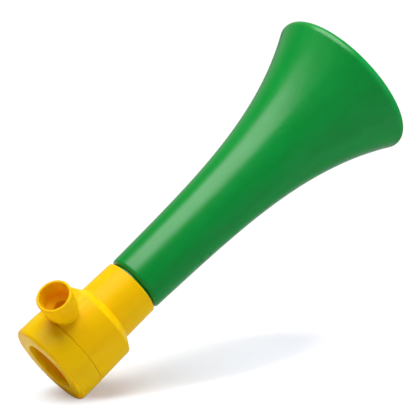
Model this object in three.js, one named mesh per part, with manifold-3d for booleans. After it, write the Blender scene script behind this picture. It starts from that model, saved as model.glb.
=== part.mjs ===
// Blown stadium horn with a film diaphragm: a flared bell, a sound tube and a blowing head.
// Lengths are in millimetres. The horn stands on the rim of its bell, the axis is Z,
// the cap is at the top and the blow spout points to -Y.
import * as THREE from 'three';
import { mergeVertices } from 'three/addons/utils/BufferGeometryUtils.js';
import Module from 'manifold-3d';

const wasm = await Module();
wasm.setup();

// Running gap left between neighbouring pieces
const fitGap = 0.3;
// Extra reach of every cutting body past the face that it cuts
const overrun = 2;

// Sound tube
const tubeBore = 11.7;
const tubeWall = 1.4;
const tubeChamfer = 0.5;
const socketDepth = 14;

// Bell
const bellLength = 156.1;
const socketWall = 2.05;
const bellTaper = 4.2;
const bellFlare = 24.4;
const bellWall = 2.1;
const lipWidth = 3.9;
const lipRise = 2.3;
const lipLand = 0.9;
const lipInnerRadius = 0.5;
const bellEndHeight = 2;
const bellEndLand = 0.15;
const socketLedge = 1;

// Head housing, from the open end of its collar to the seat of the diaphragm
const neckGap = 1.55;
const collarWall = 2.25;
const collarDraft = 0.35;
const collarLength = 20.25;
const collarChamfer = 0.45;
const shoulderHeight = 4.3;
const shoulderRadius = 1.6;
const rootFillet = 1.2;
const floorThickness = 3;
const floorChamfer = 3;
const chamberGap = 6.5;
const chamberWall = 2.9;
const barrelDraft = 0.55;
const barrelLength = 19.4;
const seamChamfer = 0.35;
const neckWall = 1.5;
const neckHeight = 4.2;

// Diaphragm and its clamp ring
const filmThickness = 0.4;
const filmMargin = 0.5;
const ringHeight = 5.7;
const ringChamfer = 0.5;
const ringStep = 0.3;

// Cap
const skirtWall = 1.3;
const capEndThickness = 2.2;
const capEdgeRadius = 1.9;
const capHoleMargin = 0.4;
const capHoleRadius = 0.6;

// Blow spout
const portRadius = 4;
const spigotWall = 1.6;
const rootLedge = 1.1;
const rootMargin = 0.3;
const bellyOverhang = 1.5;
const mouthBore = 7.65;
const mouthWall = 1.4;
const mouthOuterRadius = 0.6;
const mouthInnerRadius = 0.35;
const spoutStand = 15.5;
const spoutRise = 0.7;
const bellyDepth = 10.3;
const rootDepth = 13.3;
const boreDraft = 0.8;
const boreDepth = 8.8;
const funnelDepth = 2;

// Facets round the axis, steps of an arc and rings along the bell
const roundSides = 48;
const spoutSides = 36;
const arcSteps = 4;
const bellRings = 16;

// Shape of the flare along the bell: share of its length raised to a power
const flarePower = 3.6;
const rimPower = 8;
const throatPower = 4;

// Radii, from the tube outwards
const tubeRadius = tubeBore + tubeWall;
const socketRadius = tubeRadius + fitGap;
const throatRadius = socketRadius + socketWall;
const collarTipRadius = socketRadius + collarWall;
const collarRootRadius = collarTipRadius + collarDraft;
const chamberRadius = tubeRadius + chamberGap;
const neckRadius = chamberRadius + neckWall;
const shoulderTopRadius = chamberRadius + chamberWall - barrelDraft;
const barrelRadius = shoulderTopRadius + barrelDraft;
const skirtBore = neckRadius + fitGap;
const capRadius = skirtBore + skirtWall;
const capHole = tubeRadius + capHoleMargin;
const spigotRadius = portRadius + spigotWall;
const rootRadius = spigotRadius + rootLedge;
const bellyRadius = rootRadius + bellyOverhang;
const mouthRadius = mouthBore + mouthWall;

// Heights, from the rim of the bell upwards
const socketFloor = bellLength - socketDepth;
const collarTip = bellLength + neckGap;
const collarRoot = collarTip + collarLength;
const shoulderTop = collarRoot + shoulderHeight;
const seam = shoulderTop + barrelLength;
const seat = seam + neckHeight;
const filmBottom = seat + fitGap;
const filmTop = filmBottom + filmThickness;
const ringBottom = filmTop + fitGap;
const ringTop = ringBottom + ringHeight;
const capInside = ringTop + fitGap;
const capTop = capInside + capEndThickness;
const spoutHeight = seam - rootMargin - rootRadius;

// Distances of the spout's stations from the axis of the horn
const mouthPlane = barrelRadius + spoutStand;
const bellyPlane = mouthPlane - bellyDepth;
const rootPlane = mouthPlane - rootDepth;
const borePlane = mouthPlane - boreDepth;
const portPlane = borePlane - funnelDepth;

// Lean of the spout towards the cap: its axis climbs by the rise from root to mouth
const spoutLean = Math.atan(spoutRise / rootDepth);

// Parts of a turn
const half = Math.PI;
const quarter = half / 2;
const eighth = quarter / 2;

// Points of an arc or a quarter ellipse, from one angle to another
function arc(r, z, radius, height, from, to) {
  const points = [];
  for (let i = 0; i <= arcSteps; i += 1) {
    const angle = from + (to - from) * i / arcSteps;
    points.push([r + radius * Math.cos(angle), z + height * Math.sin(angle)]);
  }
  return points;
}

// Closed body of revolution about Z from an outline of radius and height pairs
function revolve(outline, sides) {
  const closed = [...outline, outline[0]];
  const points = closed.map(([r, z]) => new THREE.Vector2(r, z));
  const geometry = new THREE.LatheGeometry(points, sides);
  geometry.rotateX(quarter);
  return geometry;
}

// Body that joins and cuts, from a closed geometry
function solidOf(geometry) {
  const bare = geometry.clone();
  bare.deleteAttribute('normal');
  bare.deleteAttribute('uv');
  const merged = mergeVertices(bare);
  const corners = merged.index.array;
  const kept = [];
  for (let i = 0; i < corners.length; i += 3) {
    const [a, b, c] = corners.slice(i, i + 3);
    if (a !== b && b !== c && c !== a) {
      kept.push(a, b, c);
    }
  }
  const mesh = new wasm.Mesh({
    numProp: 3,
    vertProperties: merged.attributes.position.array,
    triVerts: new Uint32Array(kept),
  });
  return new wasm.Manifold(mesh);
}

function geometryOf(solid) {
  const mesh = solid.getMesh();
  const geometry = new THREE.BufferGeometry();
  geometry.setAttribute('position', new THREE.BufferAttribute(mesh.vertProperties, 3));
  geometry.setIndex(new THREE.BufferAttribute(mesh.triVerts, 1));
  geometry.computeVertexNormals();
  return geometry;
}

// Radius of the bell's outside and of its bore at a height
function bellOutside(z) {
  const share = (bellLength - z) / bellLength;
  return throatRadius + bellTaper * share + bellFlare * share ** flarePower;
}

const rimSlope = (bellTaper + bellFlare * flarePower) / bellLength;
const lipTilt = Math.atan(rimSlope * lipRise / lipWidth);
const lipTop = lipRise * (1 + Math.sin(lipTilt));
const lipCentre = bellOutside(lipTop) - lipWidth * Math.cos(lipTilt);
const rimBore = lipCentre - lipLand - lipInnerRadius;
const throatWall = throatRadius - tubeBore;
const rimWall = bellOutside(0) - rimBore;

function bellInside(z) {
  const share = (bellLength - z) / bellLength;
  const throatExtra = (throatWall - bellWall) * (1 - share) ** throatPower;
  const rimExtra = (rimWall - bellWall) * share ** rimPower;
  return bellOutside(z) - bellWall - throatExtra - rimExtra;
}

// Bell: rolled lip, flare outside, rounded end with the tube's socket, and bore
function makeBell() {
  const outline = arc(lipCentre, lipRise, lipWidth, lipRise, -quarter, lipTilt);
  const endStart = bellLength - bellEndHeight;
  for (let i = 1; i <= bellRings; i += 1) {
    const z = lipTop + (endStart - lipTop) * i / bellRings;
    outline.push([bellOutside(z), z]);
  }
  const endRadius = bellOutside(endStart);
  const endWidth = endRadius - socketRadius - bellEndLand;
  outline.push(...arc(endRadius - endWidth, endStart, endWidth, bellEndHeight, 0, quarter).slice(1));
  outline.push([socketRadius, bellLength]);
  outline.push([socketRadius, socketFloor]);
  outline.push([tubeBore, socketFloor]);
  const boreTop = socketFloor - socketLedge;
  for (let i = 0; i < bellRings; i += 1) {
    const z = boreTop + (lipInnerRadius - boreTop) * i / bellRings;
    outline.push([Math.max(bellInside(z), tubeBore), z]);
  }
  const inner = lipInnerRadius;
  outline.push(...arc(rimBore + inner, inner, inner, inner, half, half + quarter));
  return revolve(outline, roundSides);
}

// Sound tube: straight pipe from the bell's socket to the underside of the diaphragm
function makeSoundTube() {
  const bottom = socketFloor + fitGap;
  const outline = [
    [tubeBore, bottom],
    [tubeRadius - tubeChamfer, bottom],
    [tubeRadius, bottom + tubeChamfer],
    [tubeRadius, seat - tubeChamfer],
    [tubeRadius - tubeChamfer, seat],
    [tubeBore, seat],
  ];
  return revolve(outline, roundSides);
}

// Barrel's drafted outside, grown by a clearance, as a cutting body round the axis
function barrelBody(clearance) {
  const top = seam + rootRadius;
  const bottom = shoulderTop - overrun;
  const slope = barrelDraft / barrelLength;
  const topRadius = barrelRadius + slope * (top - seam) + clearance;
  const bottomRadius = shoulderTopRadius - slope * overrun + clearance;
  const outline = [
    [0, bottom],
    [bottomRadius, bottom],
    [topRadius, top],
    [0, top],
  ];
  return solidOf(revolve(outline, roundSides));
}

// Body of revolution about the spout's axis: distance runs to -Y, and leans about the root
function aboutSpout(outline) {
  const geometry = revolve(outline, spoutSides);
  geometry.rotateX(quarter);
  geometry.translate(0, rootPlane, 0);
  geometry.rotateX(-spoutLean);
  geometry.translate(0, -rootPlane, spoutHeight);
  return solidOf(geometry);
}

// Head housing: collar, shoulder, barrel with the spout's hole, and the cap's neck
function makeHousing() {
  const floor = collarRoot + floorThickness;
  const fillet = rootFillet;
  const corner = shoulderRadius;
  const outline = [
    [socketRadius, collarTip],
    [collarTipRadius - collarChamfer, collarTip],
    [collarTipRadius, collarTip + collarChamfer],
    ...arc(collarRootRadius + fillet, collarRoot - fillet, fillet, fillet, half, half - eighth),
    ...arc(shoulderTopRadius - corner, shoulderTop, corner, corner, -eighth, 0),
    [barrelRadius, seam - seamChamfer],
    [barrelRadius - seamChamfer, seam],
    [neckRadius, seam],
    [neckRadius, seat],
    [chamberRadius, seat],
    [chamberRadius, floor + floorChamfer],
    [chamberRadius - floorChamfer, floor],
    [socketRadius, floor],
  ];
  const shell = solidOf(revolve(outline, roundSides));
  const holeRadius = spigotRadius + fitGap;
  const start = tubeRadius + fitGap;
  const end = barrelRadius + overrun;
  const hole = [
    [0, start],
    [holeRadius, start],
    [holeRadius, end],
    [0, end],
  ];
  return geometryOf(shell.subtract(aboutSpout(hole)));
}

// Blow spout: round cup with a soft lip, drawn in above the cap, on a spigot in the barrel
function makeBlowSpout() {
  const outer = mouthOuterRadius;
  const inner = mouthInnerRadius;
  const foot = chamberRadius - overrun;
  const cup = [
    [portRadius, foot],
    [rootRadius, foot],
    [rootRadius, rootPlane],
    ...arc(rootRadius, bellyPlane, bellyOverhang, bellyPlane - rootPlane, -quarter, 0).slice(1),
    ...arc(mouthRadius - outer, mouthPlane - outer, outer, outer, 0, quarter),
    ...arc(mouthBore + inner, mouthPlane - inner, inner, inner, quarter, half),
    [mouthBore - boreDraft, borePlane],
    [portRadius, portPlane],
  ];
  const spigot = [
    [portRadius, foot],
    [spigotRadius, foot],
    [spigotRadius, portPlane],
    [portRadius, portPlane],
  ];
  const chamberTop = seam + overrun;
  const chamber = [
    [0, shoulderTop],
    [chamberRadius, shoulderTop],
    [chamberRadius, chamberTop],
    [0, chamberTop],
  ];
  const seatedCup = aboutSpout(cup).subtract(barrelBody(fitGap));
  const seatedSpigot = aboutSpout(spigot).subtract(solidOf(revolve(chamber, roundSides)));
  return geometryOf(seatedCup.add(seatedSpigot));
}

// Diaphragm: flat film disc over the tube and the housing's seat
function makeDiaphragm() {
  const radius = neckRadius - filmMargin;
  const outline = [
    [0, filmBottom],
    [radius, filmBottom],
    [radius, filmTop],
    [0, filmTop],
  ];
  return revolve(outline, roundSides);
}

// Clamp ring: presses the film's edge on its seat under the cap
function makeClampRing() {
  const bore = capHole + ringStep;
  const outline = [
    [bore + ringChamfer, ringBottom],
    [neckRadius - ringChamfer, ringBottom],
    [neckRadius, ringBottom + ringChamfer],
    [neckRadius, ringTop],
    [bore, ringTop],
    [bore, ringBottom + ringChamfer],
  ];
  return revolve(outline, roundSides);
}

// Cap: skirt over the housing's neck and an end wall with a round hole
function makeCap() {
  const bottom = seam + fitGap;
  const edge = capEdgeRadius;
  const hole = capHoleRadius;
  const outline = [
    [skirtBore, bottom],
    [capRadius - seamChamfer, bottom],
    [capRadius, bottom + seamChamfer],
    ...arc(capRadius - edge, capTop - edge, edge, edge, 0, quarter),
    ...arc(capHole + hole, capTop - hole, hole, hole, quarter, half),
    [capHole, capInside],
    [skirtBore, capInside],
  ];
  return revolve(outline, roundSides);
}

function plastic(color, roughness) {
  return new THREE.MeshStandardMaterial({ color, roughness, metalness: 0 });
}

function piece(name, geometry, material) {
  const mesh = new THREE.Mesh(geometry, material);
  mesh.name = name;
  return mesh;
}

const horn = new THREE.Group();
horn.add(piece('bell', makeBell(), plastic('#0d9a3e', 0.38)));
horn.add(piece('sound_tube', makeSoundTube(), plastic('#0b8437', 0.42)));

const head = new THREE.Group();
head.add(piece('head_housing', makeHousing(), plastic('#f6c900', 0.4)));
head.add(piece('blow_spout', makeBlowSpout(), plastic('#f6c900', 0.4)));
head.add(piece('diaphragm', makeDiaphragm(), plastic('#e9e4d2', 0.3)));
head.add(piece('clamp_ring', makeClampRing(), plastic('#f0b800', 0.45)));
head.add(piece('end_cap', makeCap(), plastic('#f6c900', 0.4)));
horn.add(head);

export default horn;
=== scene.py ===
"""Stadium horn with a film diaphragm: two colours of moulded plastic, built round its fixed frame."""
import math

import bpy
from bpy.props import FloatProperty, FloatVectorProperty, IntProperty, PointerProperty
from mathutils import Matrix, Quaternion, Vector


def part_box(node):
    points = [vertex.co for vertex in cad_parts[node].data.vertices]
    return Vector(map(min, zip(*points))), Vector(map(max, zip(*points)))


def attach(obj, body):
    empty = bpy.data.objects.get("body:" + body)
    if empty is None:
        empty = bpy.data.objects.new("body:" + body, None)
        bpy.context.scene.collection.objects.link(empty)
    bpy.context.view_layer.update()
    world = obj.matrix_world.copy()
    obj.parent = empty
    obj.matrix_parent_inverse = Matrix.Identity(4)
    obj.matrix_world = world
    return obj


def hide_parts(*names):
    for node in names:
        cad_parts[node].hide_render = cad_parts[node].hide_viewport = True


bl_info = {
    "name": "Stadium Horn",
    "version": (1, 0, 0),
    "blender": (4, 5, 0),
    "location": "View3D > Sidebar > Horn",
    "description": "Builds a moulded plastic stadium horn with a film diaphragm, and its studio",
    "category": "Add Mesh",
}

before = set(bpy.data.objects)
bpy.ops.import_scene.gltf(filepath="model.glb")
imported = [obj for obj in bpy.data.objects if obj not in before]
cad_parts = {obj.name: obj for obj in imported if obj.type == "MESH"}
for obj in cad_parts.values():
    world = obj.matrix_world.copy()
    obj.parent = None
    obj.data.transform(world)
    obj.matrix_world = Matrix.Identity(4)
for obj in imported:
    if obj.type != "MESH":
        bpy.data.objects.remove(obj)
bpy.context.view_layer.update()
BELL_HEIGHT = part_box("bell")[1].z
TUBE_LOW, TUBE_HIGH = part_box("sound_tube")
HOUSING_LOW, HOUSING_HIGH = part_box("head_housing")
SPOUT_LOW, SPOUT_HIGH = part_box("blow_spout")
FILM_LOW, FILM_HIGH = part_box("diaphragm")
RING_LOW, RING_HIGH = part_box("clamp_ring")
CAP_LOW, CAP_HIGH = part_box("end_cap")

UP = Vector((0, 0, 1))
MIDDLE = Vector((0, 0, 0))
WHITE = (1, 1, 1, 1)
SEED_SIZE = 0.001
WELD = 0.000002
SMOOTH_DEGREES = 32
# Samples of the AO node that finds the corners for the painted shade
CREVICE_SHADE_SAMPLES = 8

# Steps of the rounded edges, from the finest to the plainest
LIP_STEPS = 14
BELLY_STEPS = 14
BIG_EDGE_STEPS = 10
CORNER_STEPS = 8
OPENING_STEPS = 7
EDGE_STEPS = 6
SMALL_EDGE_STEPS = 5


# Sizes, colours and finishes that a user can change
def length(name, description, default):
    """A size in metres."""
    return FloatProperty(name=name, description=description, default=default, min=0, precision=5,
                         unit="LENGTH")


def angle(name, description, degrees):
    """An angle, given in degrees."""
    return FloatProperty(name=name, description=description, default=math.radians(degrees), subtype="ANGLE")


def number(name, description, default):
    """A number without a unit."""
    return FloatProperty(name=name, description=description, default=default)


def count(name, description, default, least):
    """A count of steps."""
    return IntProperty(name=name, description=description, default=default, min=least)


def colour(name, description, default, most=1):
    """A linear colour: a light's may pass 1."""
    return FloatVectorProperty(name=name, description=description, default=default, min=0, max=most,
                               size=3, subtype="COLOR")


class HornBellSizes(bpy.types.PropertyGroup):
    """Sizes of the bell and of the tube that plugs into it"""
    height: length("Height", "From the rim to the narrow end", BELL_HEIGHT)
    throat_radius: length("Throat radius", "Outside radius at the narrow end", 0.01545)
    taper: length("Taper", "Even growth in radius from the throat to the rim", 0.0042)
    flare: length("Flare", "Growth in radius that gathers towards the rim", 0.0244)
    wall: length("Wall", "Thickness of the bell", 0.0021)
    lip_width: length("Lip width", "Half width of the rolled lip, across the axis", 0.003)
    lip_rise: length("Lip rise", "Half height of the rolled lip, along the axis", 0.0031)
    lip_land: length("Lip land", "Flat width that the rim rests on", 0.0009)
    lip_inner_radius: length("Inner lip radius", "Rounding inside the rim", 0.0005)
    end_height: length("End height", "Height of the rounded narrow end", 0.002)
    end_land: length("End land", "Flat width left on the narrow end", 0.00015)
    socket_clearance: length("Socket clearance", "Gap between the socket and the tube", 0.0003)
    socket_depth: length("Socket depth", "Depth of the tube's socket", 0.014)
    socket_ledge: length("Socket ledge", "Height of the step under the tube", 0.001)
    tube_bore: length("Tube bore", "Bore radius of the sound tube", 0.0117)
    tube_edge: length("Tube edge", "Rounding of the sound tube's ends", 0.0005)
    flare_power: number("Flare power", "How late the flare opens", 3.6)
    rim_power: number("Rim power", "How late the wall thickens at the rim", 8)
    throat_power: number("Throat power", "How late the wall thickens at the throat", 4)
    sides: count("Sides", "Steps round the axis", 160, 3)
    rings: count("Rings", "Steps along the flare", 64, 2)


class HornHeadSizes(bpy.types.PropertyGroup):
    """Sizes of the housing, the film, the clamp ring and the cap"""
    collar_tip: length("Collar tip", "Outside radius at the collar's open end", 0.01565)
    collar_root: length("Collar root", "Outside radius where the collar meets the shoulder", 0.016)
    collar_length: length("Collar length", "Length of the collar", 0.02025)
    collar_edge: length("Collar edge", "Rounding of the collar's open end", 0.00045)
    collar_bore: length("Collar bore", "Bore radius that the sound tube runs in", 0.0134)
    root_fillet: length("Root fillet", "Fillet between the collar and the shoulder", 0.0012)
    shoulder_height: length("Shoulder height", "From the collar to the barrel", 0.0043)
    shoulder_radius: length("Shoulder radius", "Rounding between the shoulder and the barrel", 0.0016)
    barrel_draft: length("Barrel draft", "Loss of radius from the seam to the shoulder", 0.00055)
    seam_clearance: length("Seam clearance", "Gap that the frame leaves under the cap", 0.0003)
    seam_gap: length("Seam gap", "Gap that shows under the cap", 0.0002)
    seam_edge: length("Seam edge", "Rounding of the edges at the cap's seam", 0.00025)
    floor: length("Floor", "Thickness of the chamber's floor", 0.003)
    floor_chamfer: length("Floor chamfer", "Chamfer round the chamber's floor", 0.003)
    chamber_radius: length("Chamber radius", "Inside radius of the barrel", 0.0196)
    neck_radius: length("Neck radius", "Outside radius of the neck that the cap covers", 0.0211)
    film_rise: length("Film rise", "How far the tube lifts the film", 0.00016)
    ring_bore: length("Ring bore", "Bore radius of the clamp ring", 0.0138)
    ring_edge: length("Ring edge", "Rounding of the clamp ring's edges", 0.0005)
    ring_gap: length("Ring gap", "Gap between the ring and the cap's end wall", 0.00005)
    skirt_bore: length("Skirt bore", "Inside radius of the cap's skirt", 0.0214)
    cap_end: length("Cap end", "Thickness of the cap's end wall", 0.0022)
    cap_edge: length("Cap edge", "Rounding of the cap's outer edge", 0.0019)
    cap_hole: length("Cap hole", "Radius of the hole in the cap", 0.0135)
    cap_hole_edge: length("Cap hole edge", "Rounding of the hole's edge", 0.0006)
    sides: count("Sides", "Steps round the axis", 144, 3)


class HornSpoutSizes(bpy.types.PropertyGroup):
    """Sizes of the blow spout"""
    port_radius: length("Port radius", "Radius of the air passage through the barrel's wall", 0.004)
    spigot_radius: length("Spigot radius", "Radius of the spigot in the barrel's hole", 0.0056)
    spigot_clearance: length("Spigot clearance", "Gap between the spigot and its hole", 0.0002)
    root_radius: length("Root radius", "Radius where the spout stands on the barrel", 0.0067)
    height: length("Height", "Height of the root's centre", 0.1946)
    rise: length("Rise", "Climb of the spout's axis from its root to its mouth", 0.0007)
    root_plane: length("Root plane", "Distance of the root's top from the horn's axis", 0.0247)
    belly_radius: length("Belly radius", "Radius where the cup has rounded out over its root", 0.0082)
    belly_plane: length("Belly plane", "Distance of the belly from the horn's axis", 0.0277)
    mouth_plane: length("Mouth plane", "Distance of the mouth from the horn's axis", 0.038)
    mouth_bore: length("Mouth bore", "Bore radius at the mouth", 0.00765)
    mouth_radius: length("Mouth radius", "Outside radius at the mouth", 0.00905)
    mouth_outer_edge: length("Outer edge", "Rounding outside the mouth", 0.0006)
    mouth_inner_edge: length("Inner edge", "Rounding inside the mouth", 0.00035)
    bore_draft: length("Bore draft", "Loss of radius from the mouth to the funnel", 0.0008)
    bore_depth: length("Bore depth", "From the mouth to the funnel", 0.0088)
    funnel_depth: length("Funnel depth", "Depth of the funnel", 0.002)
    seat_gap: length("Seat gap", "Gap between the root and the barrel", 0.00003)
    sides: count("Sides", "Steps round the spout", 112, 3)


class HornColours(bpy.types.PropertyGroup):
    """Colours of the plastics and the studio"""
    green: colour("Green", "Moulded green of the bell and the tube", (0.0003, 0.27, 0.032))
    green_deep: colour("Deep green", "Deeper streaks of the green", (0.0005, 0.225, 0.021))
    green_worn: colour("Worn green", "Rubbed edges of the green", (0.015, 0.4, 0.1))
    yellow: colour("Yellow", "Moulded yellow of the head", (0.87, 0.54, 0.001))
    yellow_deep: colour("Deep yellow", "Deeper streaks of the yellow", (0.83, 0.495, 0.001))
    yellow_worn: colour("Worn yellow", "Rubbed edges of the yellow", (1, 0.7, 0.02))
    # Painted shade: a deeper orange laid into corners where shade falls
    yellow_crevice_shade: colour("Yellow crevices", "Yellow deep in a corner", (1, 0.55, 0.001))
    # Painted shade: the ring's deeper orange stands in for the shade inside the cap's hole
    ring: colour("Ring", "Deeper yellow of the clamp ring", (1, 0.42, 0.001))
    ring_shade_deep: colour("Deep ring", "Deeper streaks of the clamp ring", (0.98, 0.38, 0.001))
    film: colour("Film", "Milky film", (0.8, 0.78, 0.68))
    film_deep: colour("Film creases", "Shaded creases of the film", (0.66, 0.63, 0.52))
    floor: colour("Floor", "Studio floor", (0.85, 0.85, 0.85))
    floor_seen: colour("Seen floor", "Studio floor as the camera sees it", (0.86, 0.87, 0.8))
    fill: colour("Fill", "Light from all round", (1, 0.86, 1.08), 2)
    card: colour("Card", "Light from the card", (0.85, 0.95, 1.5), 2)


class HornFinish(bpy.types.PropertyGroup):
    """Gloss, grain and wear of the plastics"""
    green_roughness: number("Green roughness", "Roughness of the green plastic", 0.3)
    green_level: number("Green gloss", "Specular level of the green plastic", 0.48)
    yellow_roughness: number("Yellow roughness", "Roughness of the yellow plastic", 0.33)
    yellow_level: number("Yellow gloss", "Specular level of the yellow plastic", 0.07)
    yellow_glow: number("Yellow glow", "Share of the light that spreads inside the yellow plastic", 0.5)
    glow_depth: length("Glow depth", "How far light spreads inside the plastic", 0.003)
    glow_reach: colour("Glow reach", "Share of that distance for red, green and blue light", (1, 0.4, 0.05))
    film_roughness: number("Film roughness", "Roughness of the film", 0.28)
    film_level: number("Film gloss", "Specular level of the film", 0.5)
    streak_scale: number("Streak scale", "Fineness of the flow streaks", 160)
    streak_detail: number("Streak detail", "Detail of the flow streaks", 4)
    streak_stretch: number("Streak stretch", "Fineness of the streaks along the axis, as a share", 0.12)
    streak_start: number("Streak start", "Noise at which a streak starts", 0.38)
    streak_full: number("Streak full", "Noise at which a streak is strongest", 0.72)
    streak_most: number("Streak most", "Strongest share of the deeper colour", 0.5)
    wear_start: number("Wear start", "Sharpness at which an edge starts to look rubbed", 0.53)
    wear_full: number("Wear full", "Sharpness at which an edge looks most rubbed", 0.62)
    wear_most: number("Wear most", "Strongest share of the rubbed colour", 0.45)
    # How far and how strongly the painted shade reaches into corners
    crevice_shade_reach: length("Crevice reach", "How near the walls of a crevice are", 0.008)
    crevice_shade_full: number("Crevice full", "Openness at which a corner has its full colour", 0.25)
    patch_scale: number("Patch scale", "Fineness of the smoother and rougher patches", 70)
    patch_detail: number("Patch detail", "Detail of those patches", 5)
    patch_start: number("Patch start", "Noise at which a patch is smoothest", 0.3)
    patch_full: number("Patch full", "Noise at which a patch is roughest", 0.7)
    patch_smoother: number("Patch smoother", "Least roughness of a patch, under the plastic's own", 0.03)
    patch_rougher: number("Patch rougher", "Most roughness of a patch, over the plastic's own", 0.04)
    wave_scale: number("Wave scale", "Fineness of the surface's slow waves", 55)
    wave_detail: number("Wave detail", "Detail of the slow waves", 1)
    wave_strength: number("Wave strength", "Strength of the slow waves", 0.25)
    wave_height: length("Wave height", "Height of the slow waves", 0.0004)
    grain_scale: number("Grain scale", "Fineness of the satin grain", 2600)
    grain_detail: number("Grain detail", "Detail of the satin grain", 2)
    grain_strength: number("Grain strength", "Strength of the satin grain", 0.12)
    grain_height: length("Grain height", "Height of the satin grain", 0.00005)


class HornStudio(bpy.types.PropertyGroup):
    """Camera, light and floor"""
    azimuth: angle("Azimuth", "Camera's turn about the horn", -36.71)
    elevation: angle("Elevation", "Camera's height angle", 16.78)
    roll: angle("Roll", "Camera's turn about its own view", -133.945)
    distance: length("Distance", "From the camera to the point it looks at", 0.98024)
    aim_side: length("Aim side", "How far that point lies beside the axis", 0.00053)
    aim_height: length("Aim height", "Height of the point that the camera looks at", 0.10075)
    lens: number("Lens", "Focal length in millimetres", 166.82)
    softbox_left: length("Softbox left", "How far the softbox hangs to the camera's left", 0.098)
    softbox_up: length("Softbox up", "How far the softbox hangs over the horn", 0.55)
    softbox_near: length("Softbox near", "How far the softbox hangs towards the camera", 0.2)
    softbox_size: length("Softbox size", "Side of the softbox", 0.6)
    softbox_level: number("Softbox level", "Brightness of the softbox", 4.75)
    card_right: length("Card right", "How far the white card stands to the camera's right", 0.22)
    card_up: length("Card up", "How far the white card stands above the horn's middle", 0.09)
    card_near: length("Card near", "How far the white card stands towards the camera", 0.05)
    card_size: length("Card size", "Side of the white card", 0.2)
    card_level: number("Card level", "Brightness of the white card", 2.1)
    world_level: number("World level", "Light from all round", 0.27)
    gloss_level: number("Gloss level", "What the gloss shows of the dark room", 0.01)
    wall_level: number("Wall level", "What the gloss shows of the back wall", 0.5)
    wall_start: number("Wall start", "How level a view to the back wall starts", 0.3)
    wall_full: number("Wall full", "How level a view shows the full wall", 0.95)
    floor_pitch: angle("Floor pitch", "Camera's height angle over the floor", 16)
    floor_size: length("Floor size", "Side of the floor", 8)
    floor_glow: number("Floor glow", "Added white that only the camera sees", 0.18)
    floor_dim: number("Floor dim", "Least share of the floor in the gloss", 0.12)
    side_turn: angle("Side turn", "How far the ramp beside the horn turns away", 30)
    side_before: length("Side before", "How far before the cap's foot that ramp starts", 0.12)
    side_after: length("Side after", "How far behind the cap's foot that ramp ends", 0.05)
    gloss_near: length("Gloss near", "How far before the cap's foot the gloss loses the floor", 0.03)
    gloss_far: length("Gloss far", "How far behind that foot the gloss shows all of the floor", 0.05)
    clear_length: length("Clear length", "Half length of the oval that the shadow stays in", 0.096)
    clear_width: length("Clear width", "Half width of that oval", 0.03)
    clear_centre: length("Clear centre", "How far the oval's middle lies from the cap's foot", 0.071)
    clear_across: length("Clear across", "How far that middle lies behind the line from the foot", 0.004)
    clear_turn: angle("Clear turn", "How far the oval turns away from the camera's right", 33.7)
    clear_level: number("Clear level", "Brightness of the plain white floor", 1.05)
    clear_start: number("Clear start", "Share of the oval where the white starts", 0.68)


# Modelling
def arc(r, h, width, height, start, end, steps):
    """Points of an elliptical arc about (r, h), with its angles in degrees."""
    turns = [math.radians(start + (end - start) * i / steps) for i in range(steps + 1)]
    return [(r + width * math.cos(turn), h + height * math.sin(turn)) for turn in turns]


def rounding(r, h, radius, start, end, steps):
    """Points of a round arc about (r, h), with its angles in degrees."""
    return arc(r, h, radius, radius, start, end, steps)


def turned(name, outline, sides, foot=MIDDLE, along=UP):
    """Draw a closed outline of (radius, distance along the axis) pairs by extruding, and spin it."""
    points = [foot + Vector((r, 0, 0)) + along * h for r, h in [*outline, outline[0]]]
    bpy.ops.object.select_all(action="DESELECT")
    bpy.ops.mesh.primitive_plane_add(size=SEED_SIZE, location=MIDDLE)
    piece = bpy.context.object
    piece.name = name
    piece.data.name = name
    bpy.ops.object.mode_set(mode="EDIT")
    bpy.ops.mesh.select_all(action="SELECT")
    bpy.ops.mesh.merge(type="CENTER")
    bpy.ops.transform.translate(value=points[0])
    for here, there in zip(points, points[1:]):
        bpy.ops.mesh.extrude_region_move(TRANSFORM_OT_translate={"value": there - here})
    bpy.ops.mesh.select_all(action="SELECT")
    bpy.ops.mesh.spin(steps=sides, angle=2 * math.pi, center=foot, axis=along)
    bpy.ops.mesh.select_all(action="SELECT")
    bpy.ops.mesh.remove_doubles(threshold=WELD)
    bpy.ops.mesh.normals_make_consistent(inside=False)
    bpy.ops.object.mode_set(mode="OBJECT")
    return piece


def combine(piece, tool, operation):
    """Cut a piece with a tool, or join the tool to it, and remove the tool."""
    change = piece.modifiers.new(operation.title(), "BOOLEAN")
    change.operation = operation
    change.solver = "EXACT"
    change.object = tool
    bpy.ops.object.select_all(action="DESELECT")
    bpy.context.view_layer.objects.active = piece
    piece.select_set(True)
    bpy.ops.object.modifier_apply(modifier=change.name)
    bpy.data.objects.remove(tool)


def finish_piece(piece, body, node, material):
    """Smooth a piece, give it its material and seat it on the frame."""
    bpy.ops.object.select_all(action="DESELECT")
    bpy.context.view_layer.objects.active = piece
    piece.select_set(True)
    bpy.ops.object.shade_smooth_by_angle(angle=math.radians(SMOOTH_DEGREES))
    piece.data.materials.clear()
    piece.data.materials.append(material)
    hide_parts(node)
    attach(piece, body)


# Nodes of the materials and the world
def add_node(tree, kind, values=None, **settings):
    """Add a node, with its settings and with values for its inputs by name or number."""
    made = tree.nodes.new(kind)
    for name, value in settings.items():
        setattr(made, name, value)
    for entry, value in (values or {}).items():
        made.inputs[entry].default_value = value
    return made


def wire(tree, source, output, target, entry):
    """Link one node's output to another's input, each by name or number."""
    tree.links.new(source.outputs[output], target.inputs[entry])


def noise(tree, source, output, scale, detail):
    """Add a noise pattern on the places that a node gives."""
    made = add_node(tree, "ShaderNodeTexNoise", {"Scale": scale, "Detail": detail})
    wire(tree, source, output, made, "Vector")
    return made


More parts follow.
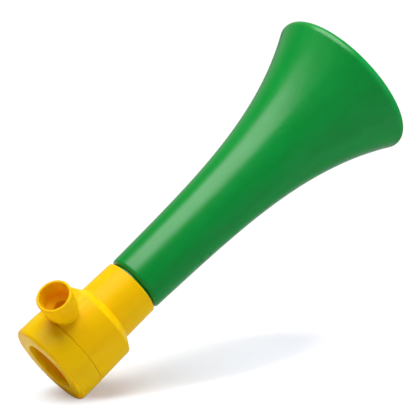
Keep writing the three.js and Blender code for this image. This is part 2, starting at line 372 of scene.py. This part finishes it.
def ramp(tree, source, output, start, end, low=0, high=1, **settings):
    """Turn a value that runs from start to end into one that runs from low to high."""
    limits = {"From Min": start, "From Max": end, "To Min": low, "To Max": high}
    made = add_node(tree, "ShaderNodeMapRange", limits, **settings)
    wire(tree, source, output, made, "Value")
    return made


def laid_over(tree, share, under, over):
    """Lay a colour over another colour, or over a node's colour, by a node's share."""
    made = add_node(tree, "ShaderNodeMix", data_type="RGBA")
    if isinstance(under, bpy.types.Node):
        wire(tree, under, "Result", made, "A")
    else:
        made.inputs["A"].default_value = (*under, 1)
    made.inputs["B"].default_value = (*over, 1)
    wire(tree, share, "Result", made, "Factor")
    return made


def bump(tree, pattern, strength, height, under=None):
    """Raise a pattern, on top of another bump if there is one."""
    made = add_node(tree, "ShaderNodeBump", {"Strength": strength, "Distance": height})
    wire(tree, pattern, "Fac", made, "Height")
    if under is not None:
        wire(tree, under, "Normal", made, "Normal")
    return made


def distance_along(tree, source, output, way):
    """How far a place lies along a way."""
    made = add_node(tree, "ShaderNodeVectorMath", {1: way}, operation="DOT_PRODUCT")
    wire(tree, source, output, made, 0)
    return made


def product(tree, first, first_output, second, second_output):
    """Multiply two values."""
    made = add_node(tree, "ShaderNodeMath", operation="MULTIPLY")
    wire(tree, first, first_output, made, 0)
    wire(tree, second, second_output, made, 1)
    return made


def choice(tree, share, output, first, second):
    """Mix two shaders: all of the first where the share is 0, and of the second where it is 1."""
    made = add_node(tree, "ShaderNodeMixShader")
    wire(tree, share, output, made, 0)
    wire(tree, first, 0, made, 1)
    wire(tree, second, 0, made, 2)
    return made


def empty_material(name):
    """Find or make a material, and leave only its output in it."""
    material = bpy.data.materials.get(name) or bpy.data.materials.new(name)
    material.use_nodes = True
    tree = material.node_tree
    tree.nodes.clear()
    return material, tree, add_node(tree, "ShaderNodeOutputMaterial")


# Plastics
def moulded_plastic(name, finish, colours, roughness, level, glow=0, shaded_crevice=None):
    """Injection-moulded plastic with inner glow, streaks, rubbed edges, painted shade in crevices, patches,
    waves, grain.
    """
    material, tree, output = empty_material(name)
    base, deep, worn = colours
    shader = add_node(tree, "ShaderNodeBsdfPrincipled", {
        "Specular IOR Level": level,
        "Subsurface Weight": glow,
        "Subsurface Scale": finish.glow_depth,
        "Subsurface Radius": finish.glow_reach,
    })
    wire(tree, shader, "BSDF", output, "Surface")

    place = add_node(tree, "ShaderNodeTexCoord")
    stretch = add_node(tree, "ShaderNodeMapping", {"Scale": (1, 1, finish.streak_stretch)})
    wire(tree, place, "Object", stretch, "Vector")
    streaks = noise(tree, stretch, "Vector", finish.streak_scale, finish.streak_detail)
    streak = ramp(tree, streaks, "Fac", finish.streak_start, finish.streak_full, high=finish.streak_most)
    look = laid_over(tree, streak, base, deep)
    shape = add_node(tree, "ShaderNodeNewGeometry")
    wear = ramp(tree, shape, "Pointiness", finish.wear_start, finish.wear_full, high=finish.wear_most)
    look = laid_over(tree, wear, look, worn)
    # Painted shade: corners that the AO node finds closed in get a deeper orange
    if shaded_crevice is not None:
        reach = {"Distance": finish.crevice_shade_reach}
        shaded_corners = add_node(tree, "ShaderNodeAmbientOcclusion", reach, samples=CREVICE_SHADE_SAMPLES)
        depth = ramp(tree, shaded_corners, "AO", 1, finish.crevice_shade_full)
        look = laid_over(tree, depth, look, shaded_crevice)
    wire(tree, look, "Result", shader, "Base Color")

    patches = noise(tree, place, "Object", finish.patch_scale, finish.patch_detail)
    smoothest = roughness - finish.patch_smoother
    roughest = roughness + finish.patch_rougher
    gloss = ramp(tree, patches, "Fac", finish.patch_start, finish.patch_full, smoothest, roughest)
    wire(tree, gloss, "Result", shader, "Roughness")

    waves = noise(tree, place, "Object", finish.wave_scale, finish.wave_detail)
    slow = bump(tree, waves, finish.wave_strength, finish.wave_height)
    grain = noise(tree, place, "Object", finish.grain_scale, finish.grain_detail)
    fine = bump(tree, grain, finish.grain_strength, finish.grain_height, slow)
    wire(tree, fine, "Normal", shader, "Normal")
    return material


def green_plastic(scene):
    """Green plastic of the bell and the sound tube."""
    paint, finish = scene.horn_colours, scene.horn_finish
    colours = (paint.green, paint.green_deep, paint.green_worn)
    return moulded_plastic("green_plastic", finish, colours, finish.green_roughness, finish.green_level)


def yellow_plastic(scene):
    """Yellow plastic of the head, with painted shade in its corners."""
    paint, finish = scene.horn_colours, scene.horn_finish
    colours = (paint.yellow, paint.yellow_deep, paint.yellow_worn)
    return moulded_plastic("yellow_plastic", finish, colours, finish.yellow_roughness, finish.yellow_level,
                           finish.yellow_glow, paint.yellow_crevice_shade)


def shaded_ring_plastic(scene):
    """Deeper yellow plastic of the clamp ring, painted with the shade that falls inside the cap's hole."""
    paint, finish = scene.horn_colours, scene.horn_finish
    colours = (paint.ring, paint.ring_shade_deep, paint.ring)
    return moulded_plastic("shaded_ring_plastic", finish, colours, finish.yellow_roughness, finish.yellow_level,
                           finish.yellow_glow)


def film_plastic(scene):
    """Milky film with faint streaks."""
    paint, finish = scene.horn_colours, scene.horn_finish
    colours = (paint.film, paint.film_deep, paint.film)
    return moulded_plastic("film_plastic", finish, colours, finish.film_roughness, finish.film_level)


# Places that more than one piece or outline follows
def spout_axis(sizes):
    """Point of the spout's axis beside the horn's axis, and the way that the spout leans out."""
    along = Vector((0, sizes.root_plane - sizes.mouth_plane, sizes.rise)).normalized()
    return Vector((0, -sizes.root_plane, sizes.height)) - along * sizes.root_plane, along


def barrel_outside(sizes, h):
    """Outside radius of the drafted barrel at a height."""
    shoulder = HOUSING_LOW.z + sizes.collar_length + sizes.shoulder_height
    seam = CAP_LOW.z - sizes.seam_clearance
    return HOUSING_HIGH.x - sizes.barrel_draft * (seam - h) / (seam - shoulder)


def bell_outside(sizes, h):
    """Outside radius of the bell at a height."""
    share = (sizes.height - h) / sizes.height
    return sizes.throat_radius + sizes.taper * share + sizes.flare * share ** sizes.flare_power


def bell_lip(sizes):
    """Tilt of the flare at the rim in degrees, top of the lip, and radius of the lip's centre."""
    slope = (sizes.taper + sizes.flare * sizes.flare_power) / sizes.height
    tilt = math.atan(slope * sizes.lip_rise / sizes.lip_width)
    top = sizes.lip_rise * (1 + math.sin(tilt))
    return math.degrees(tilt), top, bell_outside(sizes, top) - sizes.lip_width * math.cos(tilt)


def bell_inside(sizes, h, rim_bore):
    """Inside radius of the bell at a height."""
    share = (sizes.height - h) / sizes.height
    throat_extra = sizes.throat_radius - sizes.tube_bore - sizes.wall
    rim_extra = bell_outside(sizes, 0) - rim_bore - sizes.wall
    thickening = throat_extra * (1 - share) ** sizes.throat_power + rim_extra * share ** sizes.rim_power
    return bell_outside(sizes, h) - sizes.wall - thickening


# Pieces of the horn
class HORN_OT_bell(bpy.types.Operator):
    """Model the green bell, with its rolled lip and the socket for the tube"""
    bl_idname = "horn.bell"
    bl_label = "Bell"

    def execute(self, context):
        sizes = context.scene.horn_bell
        tilt, lip_top, lip_centre = bell_lip(sizes)
        width, rise = sizes.lip_width, sizes.lip_rise
        rim_bore = lip_centre - sizes.lip_land - sizes.lip_inner_radius
        outline = arc(lip_centre, rise, width, rise, -90, tilt, LIP_STEPS)
        end_start = sizes.height - sizes.end_height
        steps = [i / sizes.rings for i in range(1, sizes.rings + 1)]
        heights = [lip_top + (end_start - lip_top) * step for step in steps]
        outline += [(bell_outside(sizes, h), h) for h in heights]
        end_radius = bell_outside(sizes, end_start)
        socket = TUBE_HIGH.x + sizes.socket_clearance
        end_width = end_radius - socket - sizes.end_land
        end_centre = end_radius - end_width
        outline += arc(end_centre, end_start, end_width, sizes.end_height, 0, 90, BIG_EDGE_STEPS)[1:]
        socket_floor = sizes.height - sizes.socket_depth
        outline += [(socket, sizes.height), (socket, socket_floor), (sizes.tube_bore, socket_floor)]
        bore_top = socket_floor - sizes.socket_ledge
        inner = sizes.lip_inner_radius
        heights = [bore_top + (inner - bore_top) * i / sizes.rings for i in range(sizes.rings)]
        outline += [(max(bell_inside(sizes, h, rim_bore), sizes.tube_bore), h) for h in heights]
        outline += rounding(rim_bore + inner, inner, inner, 180, 270, EDGE_STEPS)
        piece = turned("bell_shell", outline, sizes.sides)
        finish_piece(piece, "bell", "bell", green_plastic(context.scene))
        return {"FINISHED"}


class HORN_OT_sound_tube(bpy.types.Operator):
    """Model the green tube that carries the sound from the film to the bell"""
    bl_idname = "horn.sound_tube"
    bl_label = "Sound tube"

    def execute(self, context):
        sizes = context.scene.horn_bell
        edge = sizes.tube_edge
        outer = TUBE_HIGH.x
        outline = [
            (sizes.tube_bore, TUBE_LOW.z),
            *rounding(outer - edge, TUBE_LOW.z + edge, edge, -90, 0, EDGE_STEPS),
            *rounding(outer - edge, TUBE_HIGH.z - edge, edge, 0, 90, EDGE_STEPS),
            (sizes.tube_bore, TUBE_HIGH.z),
        ]
        piece = turned("sound_pipe", outline, sizes.sides)
        finish_piece(piece, "sound_tube", "sound_tube", green_plastic(context.scene))
        return {"FINISHED"}


class HORN_OT_head_housing(bpy.types.Operator):
    """Model the yellow housing: collar, shoulder, barrel with the spout's hole, and neck"""
    bl_idname = "horn.head_housing"
    bl_label = "Head housing"

    def execute(self, context):
        sizes = context.scene.horn_head
        spout = context.scene.horn_spout
        tip = HOUSING_LOW.z
        root = tip + sizes.collar_length
        shoulder = root + sizes.shoulder_height
        seam = CAP_LOW.z - sizes.seam_clearance
        floor = root + sizes.floor
        fillet = sizes.root_fillet
        corner = sizes.shoulder_radius
        edge = sizes.collar_edge
        seam_edge = sizes.seam_edge
        barrel = HOUSING_HIGH.x
        shoulder_top = barrel - sizes.barrel_draft
        outline = [
            (sizes.collar_bore, tip),
            *rounding(sizes.collar_tip - edge, tip + edge, edge, -90, 0, EDGE_STEPS),
            *rounding(sizes.collar_root + fillet, root - fillet, fillet, 180, 135, CORNER_STEPS),
            *rounding(shoulder_top - corner, shoulder, corner, -45, 0, CORNER_STEPS),
            *rounding(barrel - seam_edge, seam - seam_edge, seam_edge, 0, 90, SMALL_EDGE_STEPS),
            (sizes.neck_radius, seam),
            (sizes.neck_radius, HOUSING_HIGH.z),
            (sizes.chamber_radius, HOUSING_HIGH.z),
            (sizes.chamber_radius, floor + sizes.floor_chamfer),
            (sizes.chamber_radius - sizes.floor_chamfer, floor),
            (sizes.collar_bore, floor),
        ]
        piece = turned("housing_shell", outline, sizes.sides)
        hole = spout.spigot_radius + spout.spigot_clearance
        start = TUBE_HIGH.x + edge
        end = barrel + edge
        foot, along = spout_axis(spout)
        hole_outline = [(0, start), (hole, start), (hole, end), (0, end)]
        combine(piece, turned("drill", hole_outline, spout.sides, foot, along), "DIFFERENCE")
        finish_piece(piece, "head", "head_housing", yellow_plastic(context.scene))
        return {"FINISHED"}


class HORN_OT_blow_spout(bpy.types.Operator):
    """Model the yellow cup that the player blows into, on its narrower root and its spigot"""
    bl_idname = "horn.blow_spout"
    bl_label = "Blow spout"

    def execute(self, context):
        sizes = context.scene.horn_spout
        head = context.scene.horn_head
        foot, along = spout_axis(sizes)
        mouth = sizes.mouth_plane
        outer = sizes.mouth_outer_edge
        inner = sizes.mouth_inner_edge
        bore_plane = mouth - sizes.bore_depth
        port_plane = bore_plane - sizes.funnel_depth
        inside = TUBE_HIGH.x + outer
        overhang = sizes.belly_radius - sizes.root_radius
        bulge = sizes.belly_plane - sizes.root_plane
        cup = [
            (sizes.port_radius, inside),
            (sizes.root_radius, inside),
            *arc(sizes.root_radius, sizes.belly_plane, overhang, bulge, -90, 0, BELLY_STEPS),
            *rounding(sizes.mouth_radius - outer, mouth - outer, outer, 0, 90, OPENING_STEPS),
            *rounding(sizes.mouth_bore + inner, mouth - inner, inner, 90, 180, EDGE_STEPS),
            (sizes.mouth_bore - sizes.bore_draft, bore_plane),
            (sizes.port_radius, port_plane),
        ]
        piece = turned("spout_cup", cup, sizes.sides, foot, along)
        low, high = SPOUT_LOW.z - outer, SPOUT_HIGH.z + outer
        seat_low = barrel_outside(head, low) + sizes.seat_gap
        seat_high = barrel_outside(head, high) + sizes.seat_gap
        seat = [(0, low), (seat_low, low), (seat_high, high), (0, high)]
        combine(piece, turned("trim", seat, head.sides), "DIFFERENCE")
        spigot = [
            (sizes.port_radius, inside),
            (sizes.spigot_radius, inside),
            (sizes.spigot_radius, port_plane),
            (sizes.port_radius, port_plane),
        ]
        plug = turned("plug", spigot, sizes.sides, foot, along)
        chamber = [(0, low), (head.chamber_radius, low), (head.chamber_radius, high), (0, high)]
        combine(plug, turned("bore", chamber, head.sides), "DIFFERENCE")
        combine(piece, plug, "UNION")
        finish_piece(piece, "head", "blow_spout", yellow_plastic(context.scene))
        return {"FINISHED"}


class HORN_OT_diaphragm(bpy.types.Operator):
    """Model the film, lifted a little by the tube's end"""
    bl_idname = "horn.diaphragm"
    bl_label = "Diaphragm"

    def execute(self, context):
        sizes = context.scene.horn_head
        tube = context.scene.horn_bell
        rise = sizes.film_rise
        low, high, edge = FILM_LOW.z, FILM_HIGH.z, FILM_HIGH.x
        outline = [
            (0, low),
            (tube.tube_bore, low),
            (edge, low),
            (edge, high - rise),
            (sizes.ring_bore, high - rise),
            (TUBE_HIGH.x, high),
            (tube.tube_bore, high),
            (0, high - rise / 2),
        ]
        piece = turned("film_disc", outline, sizes.sides)
        finish_piece(piece, "head", "diaphragm", film_plastic(context.scene))
        return {"FINISHED"}


class HORN_OT_clamp_ring(bpy.types.Operator):
    """Model the ring that presses the film on its seat"""
    bl_idname = "horn.clamp_ring"
    bl_label = "Clamp ring"

    def execute(self, context):
        sizes = context.scene.horn_head
        edge = sizes.ring_edge
        low, high = RING_LOW.z, CAP_HIGH.z - sizes.cap_end - sizes.ring_gap
        outer, bore = RING_HIGH.x, sizes.ring_bore
        outline = [
            *rounding(bore + edge, low + edge, edge, 180, 270, SMALL_EDGE_STEPS),
            *rounding(outer - edge, low + edge, edge, -90, 0, SMALL_EDGE_STEPS),
            (outer, high),
            (bore, high),
        ]
        piece = turned("press_ring", outline, sizes.sides)
        finish_piece(piece, "head", "clamp_ring", shaded_ring_plastic(context.scene))
        return {"FINISHED"}


class HORN_OT_end_cap(bpy.types.Operator):
    """Model the cap with its skirt and the round hole in its end"""
    bl_idname = "horn.end_cap"
    bl_label = "End cap"

    def execute(self, context):
        sizes = context.scene.horn_head
        low = CAP_LOW.z - sizes.seam_clearance + sizes.seam_gap
        high, outer = CAP_HIGH.z, CAP_HIGH.x
        inside = high - sizes.cap_end
        edge, seam, hole = sizes.cap_edge, sizes.seam_edge, sizes.cap_hole_edge
        outline = [
            (sizes.skirt_bore, low),
            *rounding(outer - seam, low + seam, seam, -90, 0, SMALL_EDGE_STEPS),
            *rounding(outer - edge, high - edge, edge, 0, 90, BIG_EDGE_STEPS),
            *rounding(sizes.cap_hole + hole, high - hole, hole, 90, 180, OPENING_STEPS),
            (sizes.cap_hole, inside),
            (sizes.skirt_bore, inside),
        ]
        piece = turned("cap_shell", outline, sizes.sides)
        finish_piece(piece, "cap", "end_cap", yellow_plastic(context.scene))
        return {"FINISHED"}


# Stage
def photo_camera(scene, aim, back):
    """Camera at the photograph's angle: it looks at a point, and back leads from that point to it."""
    studio = scene.horn_studio
    bpy.ops.object.camera_add(location=aim + back * studio.distance)
    camera = bpy.context.object
    camera.name = "photo_camera"
    camera.rotation_mode = "QUATERNION"
    camera.rotation_quaternion = back.to_track_quat("Z", "Y") @ Quaternion((0, 0, 1), studio.roll)
    camera.data.lens = studio.lens
    scene.camera = camera
    return camera


def panel_light(name, place, target, size, level):
    """A soft panel that faces a point: it lights the horn, and the camera doesn't see it."""
    bpy.ops.object.light_add(type="AREA", location=place)
    light = bpy.context.object
    light.name = name
    light.data.size = size
    light.data.energy = level * math.pi * size * size
    light.rotation_euler = (place - target).to_track_quat("Z", "Y").to_euler()
    light.visible_camera = False
    return light


def lowest_point(up, edge):
    """Point of the cap's rounded edge that lies lowest when the given way is up."""
    away = Vector((up.x, up.y, 0)).normalized()
    centre = Vector((0, 0, CAP_HIGH.z - edge)) - away * (CAP_HIGH.x - edge)
    return centre - up * edge


def studio_floor(scene, turn):
    """Floor that the cap's edge touches, tilted against the horn as in the photograph."""
    pitch = scene.horn_studio.floor_pitch
    up = turn @ Vector((0, math.cos(pitch), math.sin(pitch)))
    away = turn @ Vector((0, math.sin(pitch), -math.cos(pitch)))
    left = turn @ Vector((-1, 0, 0))
    bpy.ops.object.select_all(action="DESELECT")
    bpy.ops.mesh.primitive_plane_add(size=scene.horn_studio.floor_size)
    floor = bpy.context.object
    floor.name = "studio_floor"
    floor.location = lowest_point(up, scene.horn_head.cap_edge)
    floor.rotation_euler = up.to_track_quat("Z", "Y").to_euler()
    to_floor = floor.rotation_euler.to_matrix().transposed()
    floor.data.materials.append(floor_material(scene, to_floor @ away, to_floor @ left))


def floor_in_view(tree, place, scene, away, left):
    """What the camera sees: an oval from the cap's foot that keeps the shadow, and plain white round it."""
    studio = scene.horn_studio
    pale = add_node(tree, "ShaderNodeBsdfDiffuse", {"Color": (*scene.horn_colours.floor_seen, 1)})
    glow = add_node(tree, "ShaderNodeEmission", {"Strength": studio.floor_glow})
    shaded = add_node(tree, "ShaderNodeAddShader")
    wire(tree, pale, "BSDF", shaded, 0)
    wire(tree, glow, "Emission", shaded, 1)
    along = away * math.sin(studio.clear_turn) - left * math.cos(studio.clear_turn)
    across = away * math.cos(studio.clear_turn) + left * math.sin(studio.clear_turn)
    oval = add_node(tree, "ShaderNodeMapping", {
        "Location": along * studio.clear_centre + across * studio.clear_across,
        "Rotation": (0, 0, math.atan2(along.y, along.x)),
        "Scale": (studio.clear_length, studio.clear_width, 1),
    }, vector_type="TEXTURE")
    wire(tree, place, "Object", oval, "Vector")
    reach = add_node(tree, "ShaderNodeVectorMath", operation="LENGTH")
    wire(tree, oval, "Vector", reach, 0)
    far = ramp(tree, reach, "Value", studio.clear_start, 1, interpolation_type="SMOOTHSTEP")
    plain = add_node(tree, "ShaderNodeEmission", {"Strength": studio.clear_level})
    return choice(tree, far, "Result", shaded, plain)


def floor_in_gloss(tree, place, matt, studio, away, left):
    """What the gloss shows: the floor behind the horn, and the dark room before and beside it."""
    behind = distance_along(tree, place, "Object", away)
    behind_share = ramp(tree, behind, "Value", -studio.gloss_near, studio.gloss_far,
                        interpolation_type="SMOOTHSTEP")
    sideways = left * math.cos(studio.side_turn) + away * math.sin(studio.side_turn)
    beside = distance_along(tree, place, "Object", sideways)
    beside_share = ramp(tree, beside, "Value", -studio.side_before, studio.side_after, studio.floor_dim,
                        interpolation_type="SMOOTHSTEP")
    share = product(tree, behind_share, "Result", beside_share, "Result")
    dark = add_node(tree, "ShaderNodeEmission", {"Strength": studio.gloss_level})
    return choice(tree, share, "Value", dark, matt)


def floor_material(scene, away, left):
    """White floor with soft shadows, dark in the gloss before the horn, and clear seen from below."""
    material, tree, output = empty_material("studio_floor")
    matt = add_node(tree, "ShaderNodeBsdfDiffuse", {"Color": (*scene.horn_colours.floor, 1)})
    place = add_node(tree, "ShaderNodeTexCoord")
    rays = add_node(tree, "ShaderNodeLightPath")
    in_gloss = floor_in_gloss(tree, place, matt, scene.horn_studio, away, left)
    in_view = floor_in_view(tree, place, scene, away, left)
    lit = choice(tree, rays, "Is Glossy Ray", matt, in_gloss)
    seen = choice(tree, rays, "Is Camera Ray", lit, in_view)
    shape = add_node(tree, "ShaderNodeNewGeometry")
    from_below = product(tree, shape, "Backfacing", rays, "Is Camera Ray")
    clear = add_node(tree, "ShaderNodeBsdfTransparent")
    both_sides = choice(tree, from_below, "Value", seen, clear)
    wire(tree, both_sides, "Shader", output, "Surface")
    return material


def studio_world(scene, back):
    """White for the camera, a tinted fill on matt surfaces, and in gloss a dark room with a pale wall."""
    studio = scene.horn_studio
    world = scene.world or bpy.data.worlds.new("studio_world")
    scene.world = world
    world.use_nodes = True
    tree = world.node_tree
    tree.nodes.clear()
    output = add_node(tree, "ShaderNodeOutputWorld")
    white = add_node(tree, "ShaderNodeBackground", {"Color": WHITE})
    tint = (*scene.horn_colours.fill, 1)
    fill = add_node(tree, "ShaderNodeBackground", {"Color": tint, "Strength": studio.world_level})
    room = add_node(tree, "ShaderNodeBackground", {"Color": WHITE})
    place = add_node(tree, "ShaderNodeTexCoord")
    facing = distance_along(tree, place, "Generated", -back)
    wall = ramp(tree, facing, "Value", studio.wall_start, studio.wall_full, studio.gloss_level,
                studio.wall_level, interpolation_type="SMOOTHSTEP")
    wire(tree, wall, "Result", room, "Strength")
    rays = add_node(tree, "ShaderNodeLightPath")
    lit = choice(tree, rays, "Is Glossy Ray", fill, room)
    seen = choice(tree, rays, "Is Camera Ray", lit, white)
    wire(tree, seen, "Shader", output, "Surface")


class HORN_OT_stage(bpy.types.Operator):
    """Set up the camera, the white floor, the softbox, the white card and the room around them"""
    bl_idname = "horn.stage"
    bl_label = "Stage"

    def execute(self, context):
        scene = context.scene
        studio = scene.horn_studio
        side = Vector((math.cos(studio.azimuth), math.sin(studio.azimuth), 0))
        back = Vector((
            math.sin(studio.azimuth) * math.cos(studio.elevation),
            -math.cos(studio.azimuth) * math.cos(studio.elevation),
            math.sin(studio.elevation),
        ))
        aim = side * studio.aim_side + UP * studio.aim_height
        turn = photo_camera(scene, aim, back).rotation_quaternion
        studio_floor(scene, turn)
        place = aim + turn @ Vector((-studio.softbox_left, studio.softbox_up, studio.softbox_near))
        panel_light("softbox", place, aim, studio.softbox_size, studio.softbox_level)
        place = aim + turn @ Vector((studio.card_right, studio.card_up, studio.card_near))
        card = panel_light("white_card", place, aim, studio.card_size, studio.card_level)
        card.data.color = scene.horn_colours.card
        card.visible_glossy = False
        studio_world(scene, back)
        scene.view_settings.view_transform = "Standard"
        return {"FINISHED"}


# Sidebar panel and registration
PIECES = (
    HORN_OT_bell,
    HORN_OT_sound_tube,
    HORN_OT_head_housing,
    HORN_OT_blow_spout,
    HORN_OT_diaphragm,
    HORN_OT_clamp_ring,
    HORN_OT_end_cap,
)
GROUPS = {
    "horn_bell": HornBellSizes,
    "horn_head": HornHeadSizes,
    "horn_spout": HornSpoutSizes,
    "horn_colours": HornColours,
    "horn_finish": HornFinish,
    "horn_studio": HornStudio,
}


class HORN_PT_panel(bpy.types.Panel):
    """Sidebar panel that lists the horn's pieces and the values that a user can change"""
    bl_idname = "HORN_PT_panel"
    bl_label = "Stadium Horn"
    bl_space_type = "VIEW_3D"
    bl_region_type = "UI"
    bl_category = "Horn"

    def draw(self, context):
        """List the pieces, and then each group of values in a box."""
        for operator in (*PIECES, HORN_OT_stage):
            self.layout.operator(operator.bl_idname)
        for name, group in GROUPS.items():
            box = self.layout.box()
            box.label(text=group.__doc__)
            for value in group.__annotations__:
                box.prop(getattr(context.scene, name), value)


CLASSES = (*GROUPS.values(), *PIECES, HORN_OT_stage, HORN_PT_panel)


def register():
    """Add the horn's values, operators and panel to Blender."""
    for added in CLASSES:
        bpy.utils.register_class(added)
    for name, group in GROUPS.items():
        setattr(bpy.types.Scene, name, PointerProperty(type=group))


def unregister():
    """Take the panel, the operators and the values away again."""
    for name in GROUPS:
        delattr(bpy.types.Scene, name)
    for added in reversed(CLASSES):
        bpy.utils.unregister_class(added)


def main():
    """Register the horn's values, and build the stage and the horn."""
    register()
    bpy.ops.horn.stage()
    bpy.ops.horn.bell()
    bpy.ops.horn.sound_tube()
    bpy.ops.horn.head_housing()
    bpy.ops.horn.blow_spout()
    bpy.ops.horn.diaphragm()
    bpy.ops.horn.clamp_ring()
    bpy.ops.horn.end_cap()


if __name__ == "__main__":
    main()
